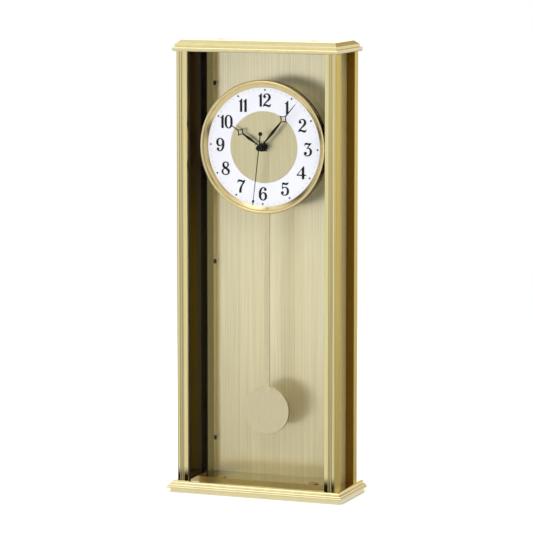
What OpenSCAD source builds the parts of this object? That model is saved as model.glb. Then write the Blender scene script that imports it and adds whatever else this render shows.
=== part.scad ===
// Pendulum wall clock in a brass-coloured metal case.
// The origin is the centre of the hanging hole, in the plane of the wall.
// +X is to the right, the front faces -Y, +Z is up. Millimetres.

/* [Case] */
// Overall height
clock_h = 450; // [420:1:480]
// Width over the front pillars
case_w = 166; // [161:0.2:176]
// Depth from the front of the pillars to the back of the rear posts
case_d = 64.8; // [63:0.2:70]
// Distance of the hanging hole below the top
hang_drop = 35; // [30:1:45]
// Gap between the rear posts and the wall
wall_gap = 3.6; // [3.2:0.1:4.6]
// Depth of the front half of the case, from the wall to the joint line
joint_y = 41; // [40.5:0.5:43]
// Running gap drawn at every joint line of the case
seam = 0.2; // [0.1:0.05:0.3]

/* [Base] */
// How far the base stands out past the pillars at each side
base_side = 9.9; // [9:0.1:13]
// How far the base stands out in front of the pillars
base_front = 7.3; // [6.8:0.1:9]
// Height of the plinth under the base moulding
plinth_h = 4.4; // [4:0.1:8]
// How far the plinth lies back from the widest edge
plinth_in = 3; // [2.6:0.1:3.4]
// How much further back the foot of the plinth lies
plinth_slope = 0.8; // [0:0.1:1]
// Radius of the round nose of the base moulding
nose_r = 1.1; // [0.8:0.05:1.3]
// Radius of the round middle step of the base moulding
middle_r = 1.7; // [1.2:0.1:2]
// Radius of the round upper edge of the base moulding
ovolo_r = 2.3; // [1.6:0.1:2.6]
// Wall of the base castings
base_wall = 2.2; // [1.8:0.1:2.6]

/* [Cornice] */
// How far the cornice stands out all round
cornice_out = 3.4; // [3:0.1:4.4]
// Height of the cornice band
band_h = 4.4; // [3.6:0.1:6]
// Radius along the edges of the cornice band
band_r = 1.5; // [0.8:0.1:1.7]
// Thickness of the top plate
top_t = 6.3; // [5.4:0.1:8]
// How far the top plate lies back from the band
top_in = 2.1; // [1.5:0.1:3]
// Height of the bevel on the top plate
bevel_h = 3.7; // [2.5:0.1:4.5]
// Depth of the bevel at the front and back
bevel_front = 7.4; // [4:0.1:9]
// Depth of the bevel at the sides
bevel_side = 3.7; // [2:0.1:6]

/* [Pillars and posts] */
// Width of the front face of a pillar
pillar_w = 10.9; // [10.6:0.1:12]
// Depth of the outer side of a pillar
pillar_side = 15.2; // [13:0.1:17]
// Wall of the pillar and post extrusions
wall = 1.2; // [1:0.1:1.4]
// Depth of the flutes in the front of a pillar
flute_d = 0.7; // [0.4:0.05:0.9]
// Front lip that holds the glass
lip_t = 2.8; // [2.4:0.1:3.2]
// Distance of the side panels from the outer side of the case
panel_in = 9.6; // [9.3:0.1:9.9]
// Thickness of the side panels
panel_t = 1.2; // [1:0.1:1.4]
// Width of a rear post
post_w = 16.4; // [15.2:0.1:18]
// Depth of a rear post
post_d = 9.6; // [9:0.1:12]
// Thickness of the back panel
back_t = 1.2; // [1:0.1:1.4]
// How far the back panel lies in from the back of the posts
back_in = 0.2; // [0.1:0.1:0.6]
// Thickness of the front glass
glass_t = 2; // [1.8:0.1:2.2]
// Depth of the seal strips behind the glass
seal_d = 3; // [2.4:0.1:3.4]

/* [Screws] */
// Distance of the case screws from the middle
case_screw_x = 49; // [45:0.5:55]
// Distance of the case screws from the wall
case_screw_y = 35; // [31:0.5:35]
// Radius of the cap of a case screw
cap_r = 5; // [4:0.1:5.2]
// Height of the lowest post screw above the floor of the case
post_screw_low = 34.6; // [25:0.5:60]
// Radius of the head of a post screw
post_screw_r = 2.5; // [2:0.1:2.7]

/* [Dial] */
// Distance of the dial's centre below the top
dial_drop = 104.4; // [100:0.2:112]
// Length of the drum behind the dial
drum_l = 39.5; // [39:0.1:40]
// Outer radius of the drum
drum_r = 59; // [58:0.1:60.5]
// Wall of the drum
drum_wall = 1.2; // [1:0.1:1.4]
// Width of the flange that holds the drum to the back panel
flange_w = 9; // [8:0.5:12]
// Thickness of the dial plate
dial_t = 1; // [0.8:0.1:1.2]
// How far the drum's radius passes the visible dial's
dial_in = 0.2; // [0:0.1:1]
// How far the bezel stands out past the drum
bezel_out = 7; // [6:0.1:9]
// How far the bezel stands in front of the dial
bezel_h = 4.4; // [3.4:0.1:5]
// Radius of the brushed disc at the centre of the dial
disc_r = 35.3; // [32:0.1:38]
// Thickness of the brushed disc
disc_t = 0.3; // [0.2:0.05:0.4]

/* [Hands] */
// Length of the hour hand
hour_l = 39; // [36:0.5:44]
// Length of the minute hand
minute_l = 57; // [50:0.5:58]
// Length of the second hand
second_l = 57.5; // [50:0.5:58]
// Clockwise angle of the minute hand at rest, from 12
minute_at = 40; // [0:1:359]
// Clockwise angle of the second hand at rest, from 12
second_at = 186.5; // [0:0.5:359.5]
// Thickness of the hands
hand_t = 0.5; // [0.4:0.05:0.6]
// Distance from the dial to the hour hand
hour_lift = 5.4; // [5:0.1:5.8]
// Distance from one hand to the next
hand_step = 3.8; // [3.6:0.1:4]

/* [Movement] */
// Width of the movement
move_w = 60; // [59:0.5:64]
// Depth of the movement
move_d = 16.4; // [16.3:0.1:17]
// Height of the movement above the hand shaft
move_up = 29; // [28.8:0.1:31]
// Height of the movement below the hand shaft
move_down = 31; // [30.8:0.1:32]
// Wall of the movement case
move_wall = 1.2; // [1.1:0.05:1.3]
// Module of the motion work's teeth
motion_m = 0.5; // [0.48:0.01:0.52]
// Module of the drive wheels' teeth
drive_m = 0.4; // [0.38:0.01:0.42]
// Radius of the battery
battery_r = 7.2; // [6.9:0.1:7.25]
// Length of the battery
battery_l = 50.2; // [49:0.1:50.5]
// Travel of the push buttons
button_travel = 0.7; // [0.5:0.1:0.8]

/* [Pendulum] */
// Height of the bob's centre above the underside
bob_h = 82.5; // [70:0.5:95]
// Radius of the bob
bob_r = 23.8; // [21:0.1:26]
// Depth of the bob
bob_d = 4; // [3.6:0.1:4.6]
// Width of the pendulum rod
rod_w = 5.6; // [4.6:0.1:6.4]
// Thickness of the pendulum rod
rod_t = 1; // [0.8:0.1:1.2]
// Distance of the pendulum rod from the wall
rod_y = 37; // [36.5:0.1:37.5]
// Distance of the pendulum's pivot below the hand shaft
pivot_drop = 37; // [36.6:0.1:39]
// Radius of the pivot pin
pin_r = 1; // [0.8:0.05:1.2]
// Largest swing to each side, in degrees
swing = 5; // [3:0.5:6]

/* [Wall hanger] */
// Radius of the hanging hole
hang_r = 4.5; // [4:0.1:5]
// Width of the slot above the hanging hole
hang_slot_w = 4.6; // [4:0.1:4.8]
// Height of the slot above the hanging hole
hang_slot_h = 10; // [8:0.5:11]

/* [Clearances] */
// Radial running clearance of the shafts
run = 0.05; // [0.03:0.01:0.08]
// Gap around pieces that are set into another
set_gap = 0.1; // [0.05:0.01:0.15]
// Gap of pieces that are pushed tight onto another
fit_gap = 0.02; // [0.01:0.01:0.03]

/* [Hidden] */
$fn = 96;
eps = 0.5;

polished = [0.86, 0.76, 0.47];
brushed = [0.82, 0.79, 0.66];
blackened = [0.07, 0.07, 0.07];
silvered = [0.93, 0.94, 0.96];
plastic = [0.16, 0.16, 0.17];
bright_brass = [0.8, 0.65, 0.3];
steel = [0.7, 0.7, 0.72];
copper = [0.72, 0.38, 0.2];

// Heights
hang_h = clock_h - hang_drop;
z_under = -hang_h;
base_riser = 0.4;
base_h = plinth_h + 2 * nose_r + base_riser + middle_r + base_riser + ovolo_r;
z_floor = z_under + base_h;
z_top = z_under + clock_h;
z_plate = z_top - top_t;
z_ceiling = z_plate - band_h;
z_dial = z_top - dial_drop;
inside_h = z_ceiling - z_floor;

// Case in plan: half widths, and places in Y
case_x = case_w / 2;
post_back = -wall_gap;
pillar_front = -wall_gap - case_d;
pillar_in = case_x - pillar_w;
panel_x = case_x - panel_in;
post_in = case_x - post_w;
post_front = post_back - post_d;
base_x = case_x + base_side;
base_y = pillar_front - base_front;
band_x = case_x + cornice_out;
band_y = pillar_front - cornice_out;
glass_play = 0.1;
glass_front = pillar_front + lip_t;
glass_back = glass_front + glass_t + glass_play;
panel_mid = panel_x + panel_t / 2;
back_rear = post_back - back_in;
back_front = back_rear - back_t;

// Dial unit
drum_front = back_front - drum_l;
dial_face = drum_front - dial_t;
disc_face = dial_face - disc_t;
dial_r = drum_r - dial_in;
bezel_r = drum_r + bezel_out;
access_r = drum_r - flange_w;
plate_lap = 3.4;
plate_r = dial_r + plate_lap;
hour_y = disc_face - hour_lift;
minute_y = hour_y - hand_step;
second_y = minute_y - hand_step;

// Movement: its layers in Y, from the dial back
move_front = drum_front;
move_in = move_front + move_wall;
move_back = move_front + move_d;
hour_layer = move_in + 0.4;
motion_layer = hour_layer + 2;
minute_layer = motion_layer + 2;
second_layer = minute_layer + 2;
idler_layer = second_layer + 2.2;
stator_layer = idler_layer + 1.8;
bridge_layer = stator_layer + 2;
wheel_t = 1.1;
bridge_t = 1;
stator_t = 1.2;

// Shafts
second_r = 0.75;
pipe_wall = 0.6;
minute_bore = second_r + run;
minute_r = minute_bore + pipe_wall + 0.3;
hour_bore = minute_r + run;
hour_r = hour_bore + pipe_wall;
bush_bore = hour_r + run;
bush_r = bush_bore + 0.7;
idler_r = 0.75;
rotor_r = 0.5;
pivot_depth = 0.6;

// Wheel trains: numbers of teeth
cannon_teeth = 10;
motion_teeth = 30;
motion_leaves = 8;
hour_teeth = 32;
drive_teeth = 60;
idler_leaves = 10;
idler_teeth = 40;
rotor_leaves = 8;
tooth_tip = 0.8;
tooth_root = 1.15;
motion_dist = motion_m * (cannon_teeth + motion_teeth) / 2;
idler_dist = drive_m * (drive_teeth + idler_leaves) / 2;
rotor_dist = drive_m * (idler_teeth + rotor_leaves) / 2;
rotor_dir = 121;
rotor_at = [-idler_dist + rotor_dist * cos(rotor_dir), rotor_dist * sin(rotor_dir)];
coil_up = 21;
coil_r = 2.7;
coil_l = 10;
core_w = 3;
stator_half = 8;
leg_w = 2.5;
button_at = [5, 24];
board_y = motion_layer + 2.2;
board_t = 1.2;
board_low = 19.4;
switch_h = 1.2;

// Battery bay, below the gear space
bay_wall_z = -drive_m * (drive_teeth / 2 + tooth_tip) - move_wall - 0.4;
battery_z = bay_wall_z - 0.9 - battery_r;
battery_y = move_in + 0.2 + battery_r;
bay_half = move_w / 2 - move_wall;

// Pendulum
z_pivot = z_dial - pivot_drop;
z_bob = z_under + bob_h;
// How far the rod reaches above the bottom of its grip
rod_grip = 13;
hanger_t = 2.4;
hanger_l = 17;
cheek_t = 1.2;
cheek_gap = 4.4;
bracket_w = 18;
slot_w = 2 * ((drum_r - pivot_drop) * sin(swing) + rod_w / 2 + 2);
slot_d = 9;
magnet_r = 3.4;
// Drive coil: its radius, and its clearance inside the drum
coil_out_r = 5.6;
coil_clear = 4.2;
coil_t = 4;
magnet_drop = drum_r - drum_wall - coil_out_r - coil_clear - pivot_drop;

// Extrudes a shape drawn in X and Z from y = back towards the front.
module slab(back, t) {
    translate([0, back, 0]) rotate([90, 0, 0]) linear_extrude(t) children();
}

// A disc or tube about the hand shaft's direction, from y = back forwards.
module disc(back, t, r, bore = 0) {
    slab(back, t) difference() {
        circle(r);
        if (bore > 0) circle(bore);
    }
}

module on_dial() { translate([0, 0, z_dial]) children(); }

module both_sides() {
    children();
    mirror([1, 0, 0]) children();
}

function arc(cx, cy, r, from, to, steps = 8) =
    [for (i = [0 : steps]) let (a = from + (to - from) * i / steps) [cx + r * cos(a), cy + r * sin(a)]];

// ---- Base ----

// Widths of the small flat treads of the moulding, and of the plinth's inner ledge
middle_tread = 0.2;
ovolo_tread = 0.9;
plinth_ledge = 1;

// Section of the base moulding: x is measured from its widest edge, inwards is negative.
function base_section(reach) =
    let (
        nose_top = plinth_h + 2 * nose_r,
        middle_x = -nose_r - middle_tread,
        middle_z = nose_top + base_riser,
        ovolo_x = middle_x - middle_r - ovolo_tread,
        ovolo_z = middle_z + middle_r + base_riser,
        inner_x = -plinth_in - base_wall - plinth_ledge
    )
    concat(
        [[-plinth_in - plinth_slope, 0], [-plinth_in, plinth_h]],
        arc(-nose_r, plinth_h + nose_r, nose_r, -90, 90),
        [[middle_x, nose_top]],
        arc(middle_x - middle_r, middle_z, middle_r, 0, 90),
        [[ovolo_x, middle_z + middle_r]],
        arc(ovolo_x - ovolo_r, ovolo_z, ovolo_r, 0, 90),
        [[-reach, base_h], [-reach, base_h - base_wall]],
        [[inner_x, base_h - base_wall], [inner_x, 0]]
    );

mitre_side = base_x - panel_mid;
mitre_gap = 0.02;

module base_front_plan() {
    polygon([
        [-base_x - eps, base_y - eps], [base_x + eps, base_y - eps],
        [panel_mid, base_y + mitre_side], [panel_mid, -joint_y - seam / 2],
        [-panel_mid, -joint_y - seam / 2], [-panel_mid, base_y + mitre_side]
    ]);
}

module base_front_moulding() color(polished)
    translate([0, 0, z_under]) intersection() {
        translate([-base_x, base_y, 0]) rotate([90, 0, 90]) mirror([1, 0, 0])
            linear_extrude(2 * base_x) polygon(base_section(-base_y - joint_y - seam / 2));
        translate([0, 0, -1]) linear_extrude(base_h + 2) base_front_plan();
    }

module base_side_moulding() color(polished)
    translate([0, 0, z_under]) intersection() {
        translate([base_x, 0, 0]) rotate([90, 0, 0])
            linear_extrude(-base_y) polygon(base_section(mitre_side));
        translate([0, 0, -1]) linear_extrude(base_h + 2) polygon([
            [base_x + eps, base_y - eps + mitre_gap], [base_x + eps, 0], [panel_mid, 0],
            [panel_mid, base_y + mitre_side + mitre_gap]
        ]);
    }

module base_right_moulding() base_side_moulding();
module base_left_moulding() mirror([1, 0, 0]) base_side_moulding();

// Depth of the rear rails, which touch the wall
rear_rail_d = wall_gap - seam;

module base_rear_rail() color(polished)
    translate([-panel_mid + set_gap, -rear_rail_d, z_under])
        cube([2 * (panel_mid - set_gap), rear_rail_d, base_h]);

module floor_plate() color(polished) difference() {
    translate([-panel_mid + set_gap, -joint_y + seam / 2, z_floor - base_wall])
        cube([2 * (panel_mid - set_gap), joint_y - seam / 2 - rear_rail_d - set_gap, base_wall]);
    case_screw_places() translate([0, 0, z_floor - base_wall - 1]) cylinder(r = cap_shank_r + set_gap, h = base_wall + 2);
}

// ---- Cornice ----

// Flush caps of the case screws, and their shanks
cap_t = 0.6;
cap_sink = 0.1;
cap_shank_r = 2;
cap_shank_l = 6;

module case_screw_places() {
    for (side = [-1, 1]) translate([side * case_screw_x, -case_screw_y, 0]) children();
}

function band_section(reach) = concat(
    arc(-band_r, band_r, band_r, -90, 0),
    arc(-band_r, band_h - band_r, band_r, 0, 90),
    [[-reach, band_h], [-reach, 0]]
);

band_mitre = band_x - panel_mid;

module cornice_front_rail() color(polished)
    translate([0, 0, z_ceiling]) intersection() {
        translate([-band_x, band_y, 0]) rotate([90, 0, 90]) mirror([1, 0, 0])
            linear_extrude(2 * band_x) polygon(band_section(-band_y - joint_y - seam / 2));
        translate([0, 0, -1]) linear_extrude(band_h + 2) polygon([
            [-band_x - eps, band_y - eps], [band_x + eps, band_y - eps],
            [panel_mid, band_y + band_mitre], [panel_mid, -joint_y - seam / 2],
            [-panel_mid, -joint_y - seam / 2], [-panel_mid, band_y + band_mitre]
        ]);
    }

module cornice_side_rail() color(polished)
    translate([0, 0, z_ceiling]) intersection() {
        translate([band_x, 0, 0]) rotate([90, 0, 0])
            linear_extrude(-band_y) polygon(band_section(band_mitre));
        translate([0, 0, -1]) linear_extrude(band_h + 2) polygon([
            [band_x + eps, band_y - eps + seam], [band_x + eps, 0],
            [panel_mid, 0], [panel_mid, band_y + band_mitre + seam]
        ]);
    }

module cornice_right_rail() cornice_side_rail();
module cornice_left_rail() mirror([1, 0, 0]) cornice_side_rail();

module cornice_rear_rail() color(polished)
    translate([-panel_mid + set_gap, -rear_rail_d, z_ceiling])
        cube([2 * (panel_mid - set_gap), rear_rail_d, band_h]);

module ceiling_plate() color(polished) difference() {
    translate([-panel_mid + set_gap, -joint_y + seam / 2, z_plate - base_wall])
        cube([2 * (panel_mid - set_gap), joint_y - seam / 2 - rear_rail_d - set_gap, base_wall]);
    case_screw_places() translate([0, 0, z_ceiling]) cylinder(r = cap_shank_r + set_gap, h = band_h + 1);
}

// A block whose upper edges are bevelled, from four cut prisms so that its faces stay flat.
module top_plate() color(polished) {
    half = band_x - top_in;
    front = band_y + top_in;
    depth = -front - top_in;
    difference() {
        translate([-half, front, z_plate]) cube([2 * half, depth, top_t]);
        both_sides() translate([half, 1, z_top - bevel_h]) rotate([90, 0, 0])
            linear_extrude(depth - front) polygon([[0, 0], [1, 0], [1, bevel_h + 1], [-bevel_side, bevel_h + 1],
                [-bevel_side, bevel_h]]);
        for (end = [0, 1]) translate([0, -top_in - depth / 2, 0]) mirror([0, end, 0])
            translate([-half - 1, depth / 2, z_top - bevel_h]) rotate([90, 0, 90])
                linear_extrude(2 * half + 2) polygon([[0, 0], [1, 0], [1, bevel_h + 1],
                    [-bevel_front, bevel_h + 1], [-bevel_front, bevel_h]]);
        case_screw_places() {
            translate([0, 0, z_top - cap_t - cap_sink]) cylinder(r = cap_r + set_gap, h = 2 * cap_t);
            translate([0, 0, z_plate - 1]) cylinder(r = cap_shank_r + set_gap, h = top_t + 2);
        }
    }
}

// Four capped screws: two let into the top plate, two on the floor.
module case_screws() color(polished) case_screw_places() {
    translate([0, 0, z_top - cap_t - cap_sink]) cylinder(r = cap_r, h = cap_t);
    translate([0, 0, z_plate - base_wall]) cylinder(r = cap_shank_r, h = top_t + base_wall - cap_t - cap_sink);
    translate([0, 0, z_floor]) cylinder(r = cap_r, h = cap_t);
    translate([0, 0, z_floor - cap_shank_l]) cylinder(r = cap_shank_r, h = cap_shank_l);
}

// ---- Pillars, posts and panels ----

// How far the glass reaches into a pillar
glass_hold = 4;
// Flutes: place of the first, distance to the second, half width, and the radius that gives their depth
flute_at = 4.9;
flute_step = 2.4;
flute_half = 1.05;
flute_r = (flute_half * flute_half + flute_d * flute_d) / (2 * flute_d);
groove_r = 0.3;

// Section of the right pillar: a fluted box, a rebate for the glass and a web to the joint line.
module pillar_section() difference() {
    union() {
        polygon([
            [pillar_in, pillar_front], [case_x, pillar_front], [case_x, pillar_front + pillar_side],
            [panel_x, pillar_front + pillar_side], [panel_x, glass_back], [pillar_in, glass_back]
        ]);
        translate([panel_x, pillar_front + pillar_side - eps])
            square([panel_t, -joint_y - seam / 2 - pillar_front - pillar_side + eps]);
    }
    // hollow of the box
    polygon([
        [panel_x + panel_t, glass_back + wall], [pillar_in + glass_hold + wall, glass_back + wall],
        [pillar_in + glass_hold + wall, glass_front], [case_x - wall, glass_front],
        [case_x - wall, pillar_front + pillar_side - wall], [panel_x + panel_t, pillar_front + pillar_side - wall]
    ]);
    // rebate for the glass
    translate([pillar_in - 1, glass_front]) square([glass_hold + 1, glass_t + glass_play]);
    // two flutes with a fine rib between, and fine grooves beside the corner and along the side
    for (i = [0, 1]) translate([pillar_in + flute_at + i * flute_step, pillar_front + flute_d - flute_r]) circle(flute_r);
    translate([case_x - 2 * groove_r, pillar_front]) circle(groove_r);
    for (y = [8 * groove_r, pillar_side - 8 * groove_r]) translate([case_x, pillar_front + y]) circle(groove_r);
}

module pillar() color(polished) translate([0, 0, z_floor]) linear_extrude(inside_h) pillar_section();
module right_pillar() pillar();
module left_pillar() mirror([1, 0, 0]) pillar();

// How far a side panel reaches into its rear post
panel_tongue = 1.6;
// Screws along the inner edge of each rear post
post_screw_y = post_front + 3.8;
post_screw_heights = [for (i = [0 : 2]) z_floor + post_screw_low + i * (inside_h - 2 * post_screw_low) / 2];
post_screw_head = 0.9;
post_screw_shank = 1.2;
post_screw_l = 5;
screw_slot_w = 0.6;
screw_slot_d = 0.4;

module rear_post() color(polished) difference() {
    translate([0, 0, z_floor]) linear_extrude(inside_h) difference() {
        translate([post_in, post_front]) square([post_w, post_d]);
        translate([post_in + wall, post_front + wall]) square([post_w - 2 * wall, post_d - 2 * wall]);
        translate([panel_x - set_gap, post_front - 1]) square([panel_t + 2 * set_gap, wall + 2]);
    }
    for (z = post_screw_heights) translate([post_in - 1, post_screw_y, z])
        rotate([0, 90, 0]) cylinder(r = post_screw_shank + set_gap, h = wall + 2);
}

module right_rear_post() rear_post();
module left_rear_post() mirror([1, 0, 0]) rear_post();

module post_screws() color(blackened) both_sides()
    for (z = post_screw_heights) translate([post_in, post_screw_y, z]) rotate([0, 90, 0]) {
        cylinder(r = post_screw_shank, h = post_screw_l);
        difference() {
            translate([0, 0, -post_screw_head])
                cylinder(r1 = 0.8 * post_screw_r, r2 = post_screw_r, h = post_screw_head);
            translate([-screw_slot_w / 2, -post_screw_r, -post_screw_head - 1])
                cube([screw_slot_w, 2 * post_screw_r, 1 + screw_slot_d]);
        }
    }

module side_panel() color(polished)
    translate([panel_x, -joint_y + seam / 2, z_floor])
        cube([panel_t, joint_y - seam / 2 + post_front + panel_tongue, inside_h]);

module right_side_panel() side_panel();
module left_side_panel() mirror([1, 0, 0]) side_panel();

module back_panel() color(brushed) {
    half = post_in - set_gap;
    difference() {
        translate([-half, back_front, z_floor]) cube([2 * half, back_t, inside_h]);
        on_dial() {
            disc(back_rear + 1, back_t + 2, access_r);
            drum_screw_places() disc(back_rear + 1, back_t + 2, drum_screw_r + set_gap);
        }
        hanger_rivet_places() disc(back_rear + 1, back_t + 2, rivet_r + set_gap);
    }
}

module front_glass() color([0.8, 0.9, 0.9, 0.25]) {
    half = pillar_in + glass_hold - 2 * glass_play;
    translate([-half, glass_back - glass_t, z_floor + set_gap]) cube([2 * half, glass_t, inside_h - 2 * set_gap]);
}

// Black strips behind the glass, one against each pillar.
module glass_seals() color(blackened) both_sides()
    translate([pillar_in + set_gap, glass_back, z_floor]) cube([panel_x - pillar_in - set_gap, seal_d, inside_h]);

// ---- Wall hanger ----

hanger_sheet = 1.2;
hanger_half = 17;
hanger_foot = 9;
hanger_low = -12;
hanger_high = 18;
rivet_r = 1.6;
rivet_in = 7;
rivet_head_t = 0.8;
rivet_head_out = 1.2;

module hanger_rivet_places() {
    for (side = [-1, 1], z = [hanger_low + rivet_in, hanger_high - rivet_in])
        translate([side * (hanger_half + hanger_foot / 2 + hanger_sheet / 2), 0, z]) children();
}

// Half of the section of a bent strip: a foot on the back panel and a raised plate in the plane of the wall.
hanger_half_section = [
    [hanger_half, 0], [hanger_half, back_rear + hanger_sheet],
    [hanger_half + hanger_foot, back_rear + hanger_sheet], [hanger_half + hanger_foot, back_rear],
    [hanger_half - hanger_sheet, back_rear], [hanger_half - hanger_sheet, -hanger_sheet]
];

module wall_hanger() color(steel) difference() {
    translate([0, 0, hanger_low]) linear_extrude(hanger_high - hanger_low)
        polygon(concat(hanger_half_section, [for (i = [5 : -1 : 0]) [-hanger_half_section[i].x, hanger_half_section[i].y]]));
    slab(1, hanger_sheet + 2) {
        circle(hang_r);
        translate([-hang_slot_w / 2, 0]) square([hang_slot_w, hang_slot_h]);
        translate([0, hang_slot_h]) circle(hang_slot_w / 2);
    }
    hanger_rivet_places() disc(back_rear + hanger_sheet + 1, hanger_sheet + 2, rivet_r + set_gap);
}

module hanger_rivets() color(steel) hanger_rivet_places() {
    disc(back_rear + hanger_sheet, hanger_sheet + back_t, rivet_r);
    disc(back_rear + hanger_sheet + rivet_head_t, rivet_head_t, rivet_r + rivet_head_out);
}

// ---- Dial unit ----

drum_screw_r = 1.3;
drum_screw_head_t = 1.2;
drum_screw_l = 4.4;
drum_flange_t = 1.2;
drum_screw_at = (access_r + drum_r) / 2 + 0.4;

module drum_screw_places() {
    for (a = [45 : 90 : 315])
        translate([drum_screw_at * cos(a), 0, drum_screw_at * sin(a)]) children();
}

// Tube with an inner flange at the back and a slot below for the pendulum rod.
module dial_drum() color(brushed) on_dial() difference() {
    union() {
        disc(back_front, drum_l, drum_r, drum_r - drum_wall);
        disc(back_front, drum_flange_t, drum_r - drum_wall / 2, access_r);
    }
    drum_screw_places() disc(back_front + 1, drum_flange_t + 2, drum_screw_r + set_gap);
    translate([-slot_w / 2, -rod_y - slot_d / 2, -drum_r - 1]) cube([slot_w, slot_d, drum_wall + 3]);
}

module drum_screws() color(steel) on_dial() drum_screw_places() {
    disc(back_rear, drum_screw_l, drum_screw_r);
    disc(back_rear + drum_screw_head_t, drum_screw_head_t, drum_screw_r + 1.1);
}

// Bezel: radius of its round rim, the foot beside the dial, the crease between cone and rim, and the step behind the rim
rim_r = 1.8;
foot_h = 0.7;
foot_w = 0.9;
foot_rise = 1.1;
crease_w = 0.15;
crease_h = 0.6;
rim_in = 0.5;
rim_back = 1.1;
// Black ring behind the bezel, which shows as a dark line beside the drum
retainer_t = 2.6;
retainer_out = 0.3;

// Turned ring: rounded rim, cone down to the dial and a rebate for the dial plate.
module bezel() color(polished) on_dial() rotate([90, 0, 0]) translate([0, 0, -dial_face])
    rotate_extrude() polygon(concat(
        [[dial_r, 0], [dial_r, foot_h], [dial_r + foot_w, foot_rise],
         [bezel_r - 2 * rim_r - crease_w, bezel_h - rim_r + rim_r * sin(160) - crease_h]],
        arc(bezel_r - rim_r, bezel_h - rim_r, rim_r, 160, 0),
        [[bezel_r, rim_back], [bezel_r - rim_in, rim_back - rim_in], [bezel_r - rim_in, -dial_t],
         [plate_r + set_gap, -dial_t], [plate_r + set_gap, 0]]
    ));

module bezel_retainer() color(blackened) on_dial()
    disc(drum_front + retainer_t, retainer_t, bezel_r - rim_in + retainer_out, drum_r + set_gap);

module dial_plate() color(silvered) on_dial() disc(drum_front, dial_t, plate_r, bush_r + set_gap);

module dial_centre_disc() color(brushed) on_dial()
    disc(dial_face, disc_t, disc_r, bush_r + set_gap);

// ---- Wheels ----

// Outline of a wheel with slim tapered teeth and plenty of backlash.
function wheel_points(teeth, m, at = 0) =
    let (
        pitch = 360 / teeth,
        r = m * teeth / 2,
        root = r - tooth_root * m,
        tip = r + tooth_tip * m
    )
    [for (i = [0 : teeth - 1], k = [[root, -0.27], [r, -0.19], [tip, -0.08], [tip, 0.08], [r, 0.19], [root, 0.27]])
        let (a = at + (i + k[1]) * pitch) [k[0] * cos(a), k[0] * sin(a)]];

module wheel(back, teeth, m, at = 0, t = wheel_t) { slab(back, t) polygon(wheel_points(teeth, m, at)); }

// Turn that puts a wheel of n teeth in mesh with one of n0 teeth, turned by at0, that lies opposite dir.
function mesh_turn(dir, n0, at0, n) = dir + 180 - 360 / n * (0.5 - (dir - at0) * n0 / 360);

motion_dir = 90;
motion_at = mesh_turn(motion_dir, cannon_teeth, 0, motion_teeth);
motion_leaf_at = 0;
hour_at = mesh_turn(motion_dir + 180, motion_leaves, motion_leaf_at, hour_teeth);
idler_at = mesh_turn(180, drive_teeth, 0, idler_leaves);
rotor_turn = mesh_turn(rotor_dir, idler_teeth, 0, rotor_leaves);

module spoked_wheel(back, teeth, m, hub, at = 0) difference() {
    wheel(back, teeth, m, at);
    rim = m * (teeth / 2 - tooth_root) - 1.2;
    if (rim - hub > 3) for (a = [0 : 72 : 288]) rotate([0, a, 0])
        translate([(rim + hub) / 2, 0, 0]) disc(back + 1, wheel_t + 2, (rim - hub) / 2 - 0.5);
}

module hour_wheel() color(bright_brass) on_dial() difference() {
    union() {
        wheel(hour_layer + wheel_t, hour_teeth, motion_m, hour_at);
        disc(hour_layer + wheel_t, hour_layer + wheel_t - hour_y + hand_t + 0.4, hour_r);
    }
    disc(hour_layer + wheel_t + 1, drum_l, hour_bore);
}

module motion_wheel() color(bright_brass) on_dial() translate([0, 0, motion_dist]) difference() {
    union() {
        wheel(motion_layer + wheel_t, motion_teeth, motion_m, motion_at);
        wheel(motion_layer + eps, motion_leaves, motion_m, motion_leaf_at, motion_layer + eps - move_in - 0.2);
    }
    disc(motion_layer + wheel_t + 1, 10, idler_r + run);
}

module minute_wheel() color(bright_brass) on_dial() difference() {
    union() {
        spoked_wheel(minute_layer + wheel_t, drive_teeth, drive_m, 3);
        wheel(minute_layer + eps, cannon_teeth, motion_m, 0, minute_layer + eps - motion_layer + 0.1);
        disc(minute_layer + wheel_t, minute_layer + wheel_t - minute_y + hand_t + 0.4, minute_r);
    }
    disc(minute_layer + wheel_t + 1, drum_l, minute_bore);
}

module second_wheel() color(bright_brass) on_dial() {
    spoked_wheel(second_layer + wheel_t, drive_teeth, drive_m, 3);
    disc(second_layer + wheel_t + 1.5, wheel_t + 1.5, 2);
    disc(bridge_layer + bridge_t, bridge_layer + bridge_t - second_y + hand_t, second_r);
}

// An idler at the left of the shaft: its pinion drives the wheel in the given layer.
module idler(layer) color(bright_brass) {
    translate([-idler_dist, 0, z_dial]) {
        wheel(layer + wheel_t + 0.2, idler_leaves, drive_m, idler_at, wheel_t + 0.4);
        spoked_wheel(idler_layer + wheel_t, idler_teeth, drive_m, 2, 0);
        disc(bridge_layer + bridge_t, bridge_layer + bridge_t - move_in + pivot_depth, idler_r);
    }
}

module minute_idler() idler(minute_layer);
module second_idler() mirror([1, 0, 0]) idler(second_layer);

rotor_magnet_r = 2.4;

module rotor() {
    translate([rotor_at[0], 0, z_dial + rotor_at[1]]) {
        color(bright_brass) wheel(idler_layer + wheel_t + 0.2, rotor_leaves, drive_m, rotor_turn, wheel_t + 0.4);
        color(steel) disc(stator_layer + stator_t + 0.2, stator_t + 0.2, rotor_magnet_r);
        color(steel) disc(bridge_layer + bridge_t, bridge_layer + bridge_t - move_in + pivot_depth, rotor_r);
    }
}

module minute_rotor() rotor();
module second_rotor() mirror([1, 0, 0]) rotor();

// ---- Movement case ----

// Radio antenna above the case: its height, radius and place in Y, and the clips that hold it
antenna_up = 36;
antenna_r = 4;
antenna_y = move_front + 8.2;
antenna_l = 50;
winding_l = 22;
winding_t = 1.2;
clip_x = 17;
clip_w = 4;
clip_wall = 1.4;

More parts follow.
